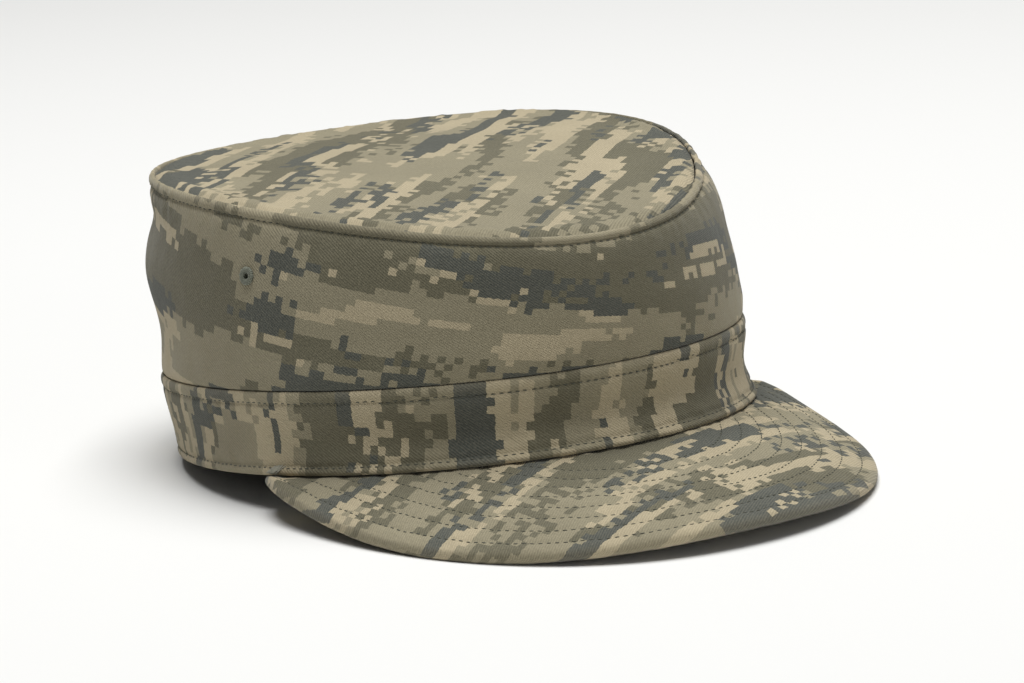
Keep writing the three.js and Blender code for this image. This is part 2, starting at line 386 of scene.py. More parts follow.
def band_relief(bearing, height):
    """Puckers of the head band beside its rows of stitches, in mm out."""
    along = bearing * MEAN_RADIUS
    foot = height + BAND_HEIGHT
    fold = 0.45 * ripple(along / 2.5, 3.3, height / 8) * bell(height + 4.6, 3.4)
    hem = 0.5 * ripple(along / 2.4, 8.8, foot / 7) * bell(foot - 3.4, 3.4)
    slack = 0.6 * ripple(along / 13, height / 15, 1.4) * bell(height + 13, 8)
    back = MEAN_RADIUS * abs(abs(bearing) - math.pi)
    seam = 0.3 * bell(back - 2.2, 1.6) - 0.5 * bell(back, 0.7)
    front = max(0, math.cos(bearing)) ** 2
    flare = front * (1.0 * bell(foot, 5) - 0.7 * bell(foot - 11, 6))
    roll = front * (0.6 * bell(foot - 1.4, 1.1) - 0.45 * bell(foot - 3.1, 0.8))
    folds = 0.9 * front * ripple(along / 11, 5.2, foot / 26) * bell(foot - 6, 8)
    return fold + hem + slack + seam + flare + roll + folds


def smooth_rows(rows, spacing):
    """Runs a smooth closed curve through the rows of a section, and says where each began."""
    made, starts = [], []
    count = len(rows)
    for i in range(count):
        before, here, after, beyond = (rows[(i + k) % count] for k in (-1, 0, 1, 2))
        tall = [cloth_height(*row[:2]) for row in (before, here, after, beyond)]
        run = math.hypot(tall[2] - tall[1], after[2] - here[2])
        steps = max(2, math.ceil(run / spacing))
        starts.append(len(made))
        for step in range(steps):
            t = step / steps
            weights = (
                (-t + 2 * t * t - t ** 3) / 2, (2 - 5 * t * t + 3 * t ** 3) / 2,
                (t + 4 * t * t - 3 * t ** 3) / 2, (t ** 3 - t * t) / 2,
            )
            height = sum(w * value for w, value in zip(weights, tall))
            height = min(max(height, min(tall[1:3])), max(tall[1:3]))
            out = sum(w * row[2] for w, row in zip(weights, (before, here, after, beyond)))
            # The share of paler painted colour, for scuffing and a painted highlight, runs
            # evenly between rows.
            wear_and_highlight = here[3] + t * (after[3] - here[3])
            made.append((height, out, wear_and_highlight))
    return made, starts


def place_on_wall(bearing, height, out):
    """A point of the side by its height along the cloth in mm."""
    tall = BAND_HEIGHT if height <= 0 else WALL_HEIGHT
    return wall_point(bearing, height / tall, 0, out)


def ring_wall(outside, inside, spacing, relief, inner_relief):
    """A closed wall round the head: a line of rows spun once round, then put in its place.
    Until then a vertex's height is the number of its row."""
    rows, starts = smooth_rows(outside + inside, spacing)
    inner_start = starts[len(outside)]
    bm = bmesh.new()
    uv = bm.loops.layers.uv.new("UVMap")
    wear_and_highlight = bm.verts.layers.float.new("wear_and_highlight")
    line = [bm.verts.new((1, 0, i)) for i in range(len(rows))]
    edges = [bm.edges.new((line[i - 1], line[i])) for i in range(len(rows))]
    bmesh.ops.spin(
        bm, geom=line + edges, cent=(0, 0, 0), axis=(0, 0, 1), angle=2 * math.pi,
        steps=RING_STEPS, use_merge=True,
    )
    for face in bm.faces:
        centre = face.calc_center_median()
        middle = math.atan2(centre.y, centre.x)
        numbers = [round(loop.vert.co.z) for loop in face.loops]
        closing = max(numbers) - min(numbers) > 1
        face.material_index = int(closing or min(numbers) >= inner_start)
        for loop in face.loops:
            co = loop.vert.co
            turn = math.remainder(math.atan2(co.y, co.x) - middle, 2 * math.pi)
            height = rows[round(co.z)][0]
            loop[uv].uv = ((middle + turn) * MEAN_RADIUS * MM, height * MM)
    for vert in bm.verts:
        bearing = math.atan2(vert.co.y, vert.co.x)
        number = round(vert.co.z)
        height, out, worn_edge_and_highlight = rows[number]
        share = inner_relief if number >= inner_start else 1
        out += share * relief(bearing, height)
        # How much paler the colour is painted here: scuffing on folded edges, and a painted
        # highlight on them.
        vert[wear_and_highlight] = worn_edge_and_highlight
        vert.co = place_on_wall(bearing, height, out) * MM
    return bm


def panel_point(bearing, reach, depth):
    """A point of the top panel, at a share of the way from its middle to its edge."""
    rim = wall_point(bearing, 1, 0, 0)
    front = math.cos(bearing)
    taut = TOP_SEAM[4] + TOP_SEAM[5] * reach * front
    taut += TOP_SEAM[6] * (1 - reach * reach * math.cos(2 * bearing)) / 2
    domed = PANEL_DOME * (1 - reach * reach) - PANEL_DIP * reach ** PANEL_DIP_SHARPNESS
    middle = HEAD_CENTRE_Y + TOP_SEAM[2]
    return Vector((rim.x * reach, middle + (rim.y - middle) * reach, taut + domed - depth))


def panel_relief(bearing, reach):
    """Slack and radial puckers of the top panel, in mm up."""
    along = bearing * MEAN_RADIUS
    inward = (1 - reach) * 90
    x, y = reach * math.cos(bearing), reach * math.sin(bearing)
    slack = 1.5 * ripple(x * 2.3, y * 2.3, 5.5) * bell(reach, 0.9)
    slack += 0.6 * ripple(x * 7, y * 7, 1.5) * min(1, inward / 8)
    pucker = 0.5 * ripple(along / 3.0, inward / 14, 3) * bell(inward - 4, 6)
    pillow = 1.2 * bell(inward - 4, 3.4)
    return slack + pucker + pillow * min(1, inward / 2)


def peak_edge(turn):
    """The peak's outer edge at half its thickness, from -90 to 90 degrees."""
    side = math.sin(turn)
    x = -PEAK_HALF_WIDTH * math.copysign(abs(side) ** (2 / PEAK_SIDE_ROUNDNESS), side)
    along = PEAK_REACH * max(0, math.cos(turn)) ** (2 / PEAK_TIP_ROUNDNESS)
    z = PEAK_TIP_HEIGHT + PEAK_SLOPE * (PEAK_REACH - along) - PEAK_ARCH * x * x
    z -= DROOP_DEPTH * max(0, (x - DROOP_START) / DROOP_REACH) ** 2
    return Vector((x, HEAD_CENTRE_Y - PEAK_CORNER_Y - along, z))


def peak_rim():
    """A tree of the points of the peak's edge in plan, to find how far in a point lies."""
    count = round(180 / RIM_STEP)
    tree = KDTree(count + 1)
    for i in range(count + 1):
        point = peak_edge(math.radians(i * RIM_STEP - 90))
        tree.insert((point.x, point.y, 0), i)
    tree.balance()
    return tree


def peak_section(station):
    """One closed section of the peak, and where each point lies on the flat cloth: the
    cover is unrolled over the lip, and the under cover starts below it."""
    bearing = math.radians(PEAK_BEARING) * station
    corner = (abs(station) - PEAK_CORNER_START) / (1 - PEAK_CORNER_START)
    fullness = math.sqrt(1 - min(1, max(0, corner)) ** 2)
    half = PEAK_THICKNESS / 2 * fullness
    drop = Vector((0, 0, -PEAK_CLEARANCE - PEAK_THICKNESS / 2))
    tuck = wall_point(bearing, -1, 0, -PEAK_TUCK) + drop
    hem = wall_point(bearing, -1, 0, -PEAK_HEM_INSET) + drop
    edge = hem.lerp(peak_edge(math.radians(90) * station), fullness)
    length = (edge - hem).length
    forward = (edge - hem).normalized()
    upward = (Vector((0, 0, 1)) - forward * forward.z).normalized()
    lip_middle = max(0, length - half)

    def at(distance, height):
        share = distance / length if length > 0 else 0
        bow = PEAK_BOW * 4 * share * (1 - share) * fullness
        return hem + forward * distance + upward * height + Vector((0, 0, bow))

    def face(height):
        rise = Vector((0, 0, height))
        steps = (i / PEAK_FACE_STEPS for i in range(1, PEAK_FACE_STEPS))
        return [tuck + rise, hem + rise] + [at(lip_middle * share, height) for share in steps]

    lip, lip_cloth = [], []
    for i in range(LIP_STEPS + 1):
        turn = math.pi * (0.5 - i / LIP_STEPS)
        lip.append(at(lip_middle + half * math.cos(turn), half * math.sin(turn)))
        lip_cloth.append(lip[0].xy + forward.xy * (half * (math.pi / 2 - turn)))
    above, below = face(half), face(-half)[::-1]
    cloth = [point.xy for point in above] + lip_cloth
    return above + lip + below, cloth + [point.xy for point in below]


def new_piece(name, bm, materials, nodes=()):
    """Turns a bmesh into a piece that rides on the cap and stands for its CAD nodes."""
    bmesh.ops.recalc_face_normals(bm, faces=bm.faces)
    # In a thin shell the guess at which side is outside can be wrong, and its volume tells.
    if bm.calc_volume(signed=True) < 0:
        bmesh.ops.reverse_faces(bm, faces=bm.faces)
    mesh = bpy.data.meshes.new(name)
    bm.to_mesh(mesh)
    bm.free()
    mesh.shade_smooth()
    for material in materials:
        mesh.materials.append(material)
    piece = bpy.data.objects.new(name, mesh)
    bpy.context.scene.collection.objects.link(piece)
    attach(piece, "root")
    if nodes:
        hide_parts(*nodes)


def add(tree, kind, inputs=None, output=0, **settings):
    """Adds a node with its settings, links or sets its inputs, and returns one output."""
    node = tree.nodes.new(kind)
    for name, value in settings.items():
        setattr(node, name, value)
    for name, value in (inputs or {}).items():
        if isinstance(value, bpy.types.NodeSocket):
            tree.links.new(value, node.inputs[name])
        else:
            node.inputs[name].default_value = value
    return node.outputs[output] if node.outputs else None


def new_material(name):
    """An empty node material."""
    material = bpy.data.materials.get(name) or bpy.data.materials.new(name)
    material.use_nodes = True
    material.node_tree.nodes.clear()
    return material


def twill_ribs(tree, cloth, slant, detail, detail_scale):
    """The slanting ribs of a twill, from 0 to 1. A real rib is about 0.6 mm, drawn a little
    coarser so that it shows."""
    turned = add(
        tree, "ShaderNodeMapping",
        {"Vector": cloth, "Rotation": (0, 0, math.radians(slant))},
    )
    pitch = bpy.context.scene.cap_sizes.twill_pitch
    return add(
        tree, "ShaderNodeTexWave",
        {"Vector": turned, "Scale": math.pi / (10 * pitch), "Distortion": 1.2,
         "Detail": detail, "Detail Scale": detail_scale},
        output="Fac", wave_type="BANDS", bands_direction="X", wave_profile="SIN",
    )


def printed_twill(name, turn, shift, stripe=(64, 15), fringe=0.35, sand=0.6):
    """Cotton twill, woven with a diagonal rib and printed with stepped stripes of four
    colours, washed and a little scuffed. It gives a dry, matt cloth with a fine slant in it,
    ragged square-edged stripes, painted shade in the grooves of the rib and painted highlight
    on its crests, and paler folded edges, partly scuffing and partly a painted highlight."""
    sizes = bpy.context.scene.cap_sizes
    colours = bpy.context.scene.cap_colours
    material = new_material(name)
    tree = material.node_tree
    cloth = add(tree, "ShaderNodeUVMap", uv_map="UVMap")
    turned = add(
        tree, "ShaderNodeMapping",
        {"Vector": cloth, "Rotation": (0, 0, math.radians(turn)), "Location": shift},
    )
    # Ink creeps a fraction of a millimetre along the yarns, so no edge is quite straight.
    creep = add(
        tree, "ShaderNodeTexNoise",
        {"Vector": cloth, "Scale": 1 / (INK_CREEP * MM), "Detail": 1.0}, output="Color",
    )
    creep = add(
        tree, "ShaderNodeVectorMath", {0: creep, 1: (INK_CREEP * MM,) * 3, 2: turned},
        operation="MULTIPLY_ADD",
    )
    cell = sizes.print_cell
    cells = add(
        tree, "ShaderNodeVectorMath", {0: creep, 1: (cell, cell * 0.93, 1)},
        operation="SNAP",
    )
    ragged = add(
        tree, "ShaderNodeTexWhiteNoise", {"Vector": cells}, output="Value",
        noise_dimensions="3D",
    )
    ragged = add(
        tree, "ShaderNodeMath", {0: ragged, 1: 0.1, 2: -0.05}, operation="MULTIPLY_ADD",
    )
    printed = (*colours.sage, 1)
    # Each ink: its length and height as shares of a stripe's, where its noise starts, and
    # the limit above which it prints. A wavy band and a noise together make long tapered
    # stripes that bend and fork.
    long, high = stripe
    for long_share, high_share, start, limit, colour in (
        (1.4, 1.7, (3.1, 7.7, 0), 0.54, colours.olive),
        (0.9, 0.8, (9.4, 2.3, 0), sand, colours.sand),
        (1, 1, (0, fringe, 0), sand, colours.sand),
        (1, 1, (0, 0, 0), 0.605, colours.slate),
    ):
        place = add(
            tree, "ShaderNodeMapping",
            {"Vector": cells, "Location": start,
             "Scale": (1 / (long * long_share * MM), 1 / (high * high_share * MM), 1)},
        )
        field = add(
            tree, "ShaderNodeTexNoise",
            {"Vector": place, "Scale": 1.0, "Detail": 1.5, "Roughness": 0.5,
             "Distortion": 0.6},
            output="Fac",
        )
        band = add(
            tree, "ShaderNodeTexWave",
            {"Vector": place, "Scale": 0.157, "Distortion": 7.0, "Detail": 1.0,
             "Detail Scale": 4.5},
            output="Fac", wave_type="BANDS", bands_direction="Y", wave_profile="SIN",
        )
        field = add(
            tree, "ShaderNodeMath", {0: field, 1: 0.78, 2: ragged}, operation="MULTIPLY_ADD",
        )
        field = add(
            tree, "ShaderNodeMath", {0: band, 1: 0.22, 2: field}, operation="MULTIPLY_ADD",
        )
        inked = add(
            tree, "ShaderNodeMath", {0: field, 1: limit}, operation="GREATER_THAN",
        )
        printed = add(
            tree, "ShaderNodeMix", {0: inked, 6: printed, 7: (*colour, 1)}, output=2,
            data_type="RGBA",
        )
    # Washing fades the print unevenly, and no two yarns are quite alike.
    fading = add(
        tree, "ShaderNodeTexNoise",
        {"Vector": cloth, "Scale": 1 / (30 * MM), "Detail": 3.0, "Roughness": 0.6},
        output="Fac",
    )
    yarn = add(
        tree, "ShaderNodeTexNoise",
        {"Vector": cloth, "Scale": 1 / (0.8 * MM), "Detail": 2.0, "Roughness": 0.7},
        output="Fac",
    )
    ribs = twill_ribs(tree, cloth, TWILL_SLANT, 1.0, 0.3)
    # The ribs' crests are painted lighter and the grooves between them darker: painted shade on
    # top of the bump. The rest of the tone varies at random.
    tone_and_rib_shade = add(
        tree, "ShaderNodeMath", {0: fading, 1: 0.3, 2: 0.53}, operation="MULTIPLY_ADD",
    )
    for tone, share in ((yarn, 0.5), (ribs, 0.14)):
        tone_and_rib_shade = add(
            tree, "ShaderNodeMath", {0: tone, 1: share, 2: tone_and_rib_shade},
            operation="MULTIPLY_ADD",
        )
    # Pale fibre shows through the ink at random. The colour is also painted paler on the ribs'
    # crests, a painted highlight, and on folded edges, partly scuffing and partly a painted
    # highlight.
    wear_and_highlight = add(tree, "ShaderNodeAttribute", output="Fac", attribute_name="wear_and_highlight")
    pale_fibre_and_highlight = -0.1
    for tone, share in ((wear_and_highlight, 0.17), (yarn, 0.26), (ribs, 0.08)):
        pale_fibre_and_highlight = add(
            tree, "ShaderNodeMath", {0: tone, 1: share, 2: pale_fibre_and_highlight}, operation="MULTIPLY_ADD",
        )
    pale_fibre_and_highlight = add(tree, "ShaderNodeMath", {0: pale_fibre_and_highlight, 1: 0.0}, operation="MAXIMUM")
    paled_colour_and_highlight = add(
        tree, "ShaderNodeMix", {0: pale_fibre_and_highlight, 6: printed, 7: (*colours.sand, 1)}, output=2,
        data_type="RGBA",
    )
    shaded = add(
        tree, "ShaderNodeVectorMath", {0: paled_colour_and_highlight, "Scale": tone_and_rib_shade}, operation="SCALE",
    )
    # The ribs stand out, and over them fuzz and a soft crumple. Each: its size and how far
    # it stands out in mm, its strength and its detail.
    normal = add(
        tree, "ShaderNodeBump", {"Height": ribs, "Strength": 0.55, "Distance": 0.22 * MM},
    )
    for size, proud, strength, detail, roughness in (
        (1.4, 0.3, 0.5, 3.0, 0.6), (9, 1.2, 0.6, 2.0, 0.5),
    ):
        height = add(
            tree, "ShaderNodeTexNoise",
            {"Vector": cloth, "Scale": 1 / (size * MM), "Detail": detail,
             "Roughness": roughness},
            output="Fac",
        )
        normal = add(
            tree, "ShaderNodeBump",
            {"Height": height, "Strength": strength, "Distance": proud * MM,
             "Normal": normal},
        )
    shader = add(
        tree, "ShaderNodeBsdfPrincipled",
        {"Base Color": shaded, "Roughness": 0.92, "Normal": normal,
         "Specular IOR Level": 0.25, "Sheen Weight": 0.15, "Sheen Roughness": 0.5},
    )
    add(tree, "ShaderNodeOutputMaterial", {"Surface": shader})
    return material


def plain_twill(name):
    """The unprinted back of the twill: paler, with only the woven slant and loose fibre."""
    material = new_material(name)
    tree = material.node_tree
    cloth = add(tree, "ShaderNodeUVMap", uv_map="UVMap")
    ribs = twill_ribs(tree, cloth, -TWILL_SLANT, 2.0, 1.0)
    mottle = add(
        tree, "ShaderNodeTexNoise",
        {"Vector": cloth, "Scale": 1 / (2 * MM), "Detail": 3.0, "Roughness": 0.7},
        output="Fac",
    )
    tone = add(
        tree, "ShaderNodeMath", {0: mottle, 1: 0.4, 2: 0.8}, operation="MULTIPLY_ADD",
    )
    reverse = bpy.context.scene.cap_colours.reverse
    shaded = add(
        tree, "ShaderNodeVectorMath", {0: tuple(reverse), "Scale": tone}, operation="SCALE",
    )
    height = add(tree, "ShaderNodeMath", {0: ribs, 1: mottle}, operation="ADD")
    bump = add(
        tree, "ShaderNodeBump", {"Height": height, "Strength": 0.6, "Distance": 0.25 * MM},
    )
    shader = add(
        tree, "ShaderNodeBsdfPrincipled",
        {"Base Color": shaded, "Roughness": 0.95, "Normal": bump,
         "Specular IOR Level": 0.2, "Sheen Weight": 0.1},
    )
    add(tree, "ShaderNodeOutputMaterial", {"Surface": shader})
    return material


def spun_thread(name, colour):
    """Spun polyester sewing thread: two plies that twist round each other, so that a stitch
    has a fine slant and a faint soft gleam."""
    material = new_material(name)
    tree = material.node_tree
    place = add(tree, "ShaderNodeTexCoord", output="Object")
    plies = add(
        tree, "ShaderNodeTexNoise",
        {"Vector": place, "Scale": 1 / (0.7 * MM), "Detail": 2.0, "Roughness": 0.7},
        output="Fac",
    )
    tone = add(
        tree, "ShaderNodeMath", {0: plies, 1: 0.9, 2: 0.55}, operation="MULTIPLY_ADD",
    )
    shaded = add(
        tree, "ShaderNodeVectorMath", {0: tuple(colour), "Scale": tone}, operation="SCALE",
    )
    bump = add(
        tree, "ShaderNodeBump", {"Height": plies, "Strength": 0.5, "Distance": 0.1 * MM},
    )
    shader = add(
        tree, "ShaderNodeBsdfPrincipled",
        {"Base Color": shaded, "Roughness": 0.7, "Normal": bump,
         "Specular IOR Level": 0.35, "Sheen Weight": 0.1},
    )
    add(tree, "ShaderNodeOutputMaterial", {"Surface": shader})
    return material


def sew(bm, surface, path):
    """Lays stitches end to end along a path in mm, on the surface that carries them."""
    sizes = bpy.context.scene.cap_sizes
    pitch = (sizes.stitch_length + sizes.stitch_gap) / MM
    travelled = 0.0
    laid = 0
    for here, after in zip(path, path[1:]):
        travelled += (after - here).length
        while travelled >= (laid + 0.5) * pitch:
            back = travelled - (laid + 0.5) * pitch
            point = after + (here - after).normalized() * back
            along = (after - here).normalized()
            lay_stitch(
                bm, surface, point, along, sizes.stitch_length, sizes.thread, STITCH_RISE,
            )
            laid += 1


def lay_stitch(bm, surface, point, along, length, thread, rise):
    """One stitch, a slim rounded shape of a few dozen faces."""
    spot, normal, _, _ = surface.find_nearest(point * MM)
    side = normal.cross(along).normalized()
    ahead = side.cross(normal).normalized()
    turn = Matrix((side, normal, ahead)).transposed().to_4x4()
    size = Matrix.Diagonal((thread / 2, thread / 2 * 0.8, length / 2, 1))
    place = Matrix.Translation(spot + normal * (rise * MM))
    stitch = stitch_shape().copy()
    stitch.transform(place @ turn @ size)
    bm.from_mesh(stitch)
    bpy.data.meshes.remove(stitch)


def stitch_shape():
    """The shape that every stitch is a copy of, a ball of one unit that is drawn out later."""
    mesh = bpy.data.meshes.get("stitch")
    if mesh is None:
        mesh = bpy.data.meshes.new("stitch")
        bm = bmesh.new()
        bmesh.ops.create_uvsphere(bm, u_segments=6, v_segments=5, radius=1)
        bm.to_mesh(mesh)
        bm.free()
    return mesh


def surface_of(name):
    """The shape of a finished piece, to lay stitches on."""
    piece = bpy.data.objects.get(name)
    if piece is None:
        raise RuntimeError(f"make {name} before its stitches")
    return BVHTree.FromPolygons(
        [v.co for v in piece.data.vertices], [p.vertices for p in piece.data.polygons],
    )


class CAP_OT_top_panel(bpy.types.Operator):
    """Makes the oval top panel, puckered where it is gathered into the welt"""

    bl_idname = "cap.top_panel"
    bl_label = "Top panel"

    def execute(self, context):
        rows = [(reach, 0) for reach in PANEL_REACHES]
        rows += [(reach, CLOTH_THICKNESS) for reach in reversed(PANEL_REACHES)]
        bm = bmesh.new()
        uv = bm.loops.layers.uv.new("UVMap")
        # The first and the last row are the middle of the panel, and stay on the axis.
        line = [bm.verts.new((math.ceil(rows[i][0]), 0, i)) for i in range(len(rows))]
        edges = [bm.edges.new(pair) for pair in zip(line, line[1:])]
        bmesh.ops.spin(
            bm, geom=line + edges, cent=(0, 0, 0), axis=(0, 0, 1), angle=2 * math.pi,
            steps=PANEL_STEPS, use_merge=True,
        )
        bmesh.ops.remove_doubles(bm, verts=bm.verts, dist=1e-4)
        for face in bm.faces:
            highest = max(vert.co.z for vert in face.verts)
            face.material_index = int(highest > len(PANEL_REACHES) - 0.5)
        for vert in bm.verts:
            bearing = math.atan2(vert.co.y, vert.co.x)
            reach, depth = rows[round(vert.co.z)]
            point = panel_point(bearing, reach, depth)
            point.z += panel_relief(bearing, reach)
            vert.co = point * MM
        for face in bm.faces:
            for loop in face.loops:
                loop[uv].uv = loop.vert.co.xy
        # The top panel has no paler painted edges: its layer stays at nought.
        bm.verts.layers.float.new("wear_and_highlight")
        new_piece(
            "top_panel", bm,
            [
                printed_twill("Printed cotton twill, top panel", -39, (0.031, 0.012, 0)),
                plain_twill("Back of cotton twill, top panel"),
            ],
            ["crown_top"],
        )
        return {"FINISHED"}


class CAP_OT_side_wall(bpy.types.Operator):
    """Makes the side wall with its folded welt, back seam and two eyelet holes"""

    bl_idname = "cap.side_wall"
    bl_label = "Side wall"

    def execute(self, context):
        bm = ring_wall(SIDE_OUTSIDE, SIDE_INSIDE, SIDE_SPACING, side_relief, 1)
        bmesh.ops.recalc_face_normals(bm, faces=bm.faces)
        for _, side in SIDES:
            place, turn = eyelet_seat(math.radians(EYELET_BEARING) * side)
            axis = turn @ Vector((0, 0, 1))
            holed = []
            for face in bm.faces:
                away = face.calc_center_median() - place * MM
                off_axis = away - axis * away.dot(axis)
                if away.length < HOLE_DEPTH * MM and off_axis.length < HOLE_RADIUS * MM:
                    holed.append(face)
            bmesh.ops.delete(bm, geom=holed, context="FACES")
            rims = [edge for edge in bm.edges if edge.is_boundary]
            bmesh.ops.bridge_loops(bm, edges=rims)
        new_piece(
            "side_wall", bm,
            [
                printed_twill(
                    "Printed cotton twill, side wall", -9, (0.102, 0.061, 0), (62, 19),
                    fringe=0.22, sand=0.635,
                ),
                plain_twill("Back of cotton twill, side wall"),
            ],
            ["crown_side"],
        )
        return {"FINISHED"}


class CAP_OT_head_band(bpy.types.Operator):
    """Makes the band round the foot of the side wall, cut across the cloth"""

    bl_idname = "cap.head_band"
    bl_label = "Head band"

    def execute(self, context):
        bm = ring_wall(BAND_OUTSIDE, BAND_INSIDE, BAND_SPACING, band_relief, 0)
        new_piece(
            "band", bm,
            [
                printed_twill(
                    "Printed cotton twill, head band", 84, (0.052, 0.009, 0), (60, 18),
                    sand=0.585,
                ),
                plain_twill("Back of cotton twill, head band"),
            ],
            ["head_band"],
        )
        return {"FINISHED"}


class CAP_OT_peak(bpy.types.Operator):
    """Makes the stiffened peak, drawn in along its rows of stitches"""

    bl_idname = "cap.peak"
    bl_label = "Peak"

    def execute(self, context):
        sizes = context.scene.cap_sizes
        sections, cloths = zip(*(
            peak_section(math.sin(math.pi * (i / PEAK_STATIONS - 0.5)))
            for i in range(PEAK_STATIONS + 1)
        ))
        count = len(sections[0])
        rim = peak_rim()
        bm = bmesh.new()
        uv = bm.loops.layers.uv.new("UVMap")
        wear_and_highlight = bm.verts.layers.float.new("wear_and_highlight")
        bmesh.ops.create_grid(
            bm, x_segments=PEAK_STATIONS, y_segments=count, size=0.5,
        )
        under = count // 2 + LIP_STEPS // 2
        for face in bm.faces:
            top = (face.calc_center_median().y + 0.5) * count < under
            for loop in face.loops:
                station = round((loop.vert.co.x + 0.5) * PEAK_STATIONS)
                number = round((loop.vert.co.y + 0.5) * count) % count
                flat = cloths[station][number]
                if not top:
                    flat = sections[station][number].xy + Vector((0, UNDER_COVER_SHIFT))
                loop[uv].uv = flat * MM
        for vert in bm.verts:
            station = round((vert.co.x + 0.5) * PEAK_STATIONS)
            number = round((vert.co.y + 0.5) * count) % count
            vert.co = sections[station][number]
            # The lip is painted paler: partly scuffing, partly a painted highlight on the
            # rolled edge.
            vert[wear_and_highlight] = bell(abs(number - count // 2), LIP_STEPS * 0.4)
        bmesh.ops.remove_doubles(bm, verts=bm.verts, dist=1e-4)
        bmesh.ops.recalc_face_normals(bm, faces=bm.faces)
        bm.normal_update()
        rows = [(sizes.first_row + i * sizes.row_pitch) / MM for i in range(sizes.rows)]
        moves = []
        for vert in bm.verts:
            inward = rim.find((vert.co.x, vert.co.y, 0))[2]
            groove = -GROOVE_DEPTH * sum(bell(inward - row, GROOVE_REACH) for row in rows)
            wavy = 0.5 * ripple(vert.co.x / 5, vert.co.y / 5, 3) * min(1, inward / 3)
            flat = abs(vert.normal.z) ** 4
            roll = 0.25 * bell(inward - 2.6, 1.6)
            moves.append(vert.normal * ((groove + wavy + roll) * flat))
        for vert, move in zip(bm.verts, moves):
            vert.co = (vert.co + move) * MM
        new_piece(
            "peak_cover", bm,
            [
                printed_twill(
                    "Printed cotton twill, peak", -19, (0.093, 0.031, 0), (70, 21),
                    fringe=0.25,
                ),
            ],
            ["peak"],
        )
        return {"FINISHED"}


def eyelet_seat(bearing):
    """The middle of an eyelet in the cloth, in mm, and the turn of its axis to the cloth's
    own facing."""
    def on_cloth(turn, rise):
        height = cloth_height(EYELET_SHARE + rise, 0)
        out = EYELET_CLOTH_MIDDLE + side_relief(bearing + turn, height)
        return place_on_wall(bearing + turn, height, out)

    nudge = 0.04
    place = on_cloth(0, 0)
    across = on_cloth(nudge, 0) - on_cloth(-nudge, 0)
    upward = on_cloth(0, nudge) - on_cloth(0, -nudge)
    normal = upward.cross(across).normalized()
    return place, Vector((0, 0, 1)).rotation_difference(normal)


class CAP_OT_eyelets(bpy.types.Operator):
    """Makes the two overcast eyelets, rings of close radial stitches through the wall"""

    bl_idname = "cap.eyelets"
    bl_label = "Eyelets"

    def execute(self, context):
        profile = list(EYELET_HALF)
        profile += [(radius, -height) for radius, height in reversed(EYELET_HALF[1:-1])]
        colours = context.scene.cap_colours
        thread = spun_thread("Spun polyester thread, eyelets", colours.eyelet_thread)
        for name, side in SIDES:
            bm = bmesh.new()
            line = [bm.verts.new((radius, 0, height)) for radius, height in profile]
            edges = [bm.edges.new((line[i - 1], line[i])) for i in range(len(line))]
            bmesh.ops.spin(
                bm, geom=line + edges, cent=(0, 0, 0), axis=(0, 0, 1), angle=2 * math.pi,
                steps=EYELET_STITCHES * 6, use_merge=True,
            )
            place, turn = eyelet_seat(math.radians(EYELET_BEARING) * side)
            for vert in bm.verts:
                angle = math.atan2(vert.co.y, vert.co.x)
                stitch = math.sqrt(abs(math.sin(angle * EYELET_STITCHES / 2))) - 0.7
                wild = 0.2 * ripple(angle * 3.7, side, 2)
                radius = math.hypot(vert.co.x, vert.co.y)
                if abs(vert.co.z) > EYELET_CLOTH_FACE:
                    vert.co.z += math.copysign(0.16, vert.co.z) * stitch
                if radius > 2.5 or radius < 1.2:
                    grow = 1 + (0.05 * stitch + wild * 0.5) * (1 if radius > 2 else -1)
                    vert.co.x *= grow
                    vert.co.y *= grow
                vert.co = (place + turn @ vert.co) * MM
            new_piece(
                f"overcast_eyelet_{name}", bm, [thread], [f"vent_eyelet_{name}"],
            )
        return {"FINISHED"}


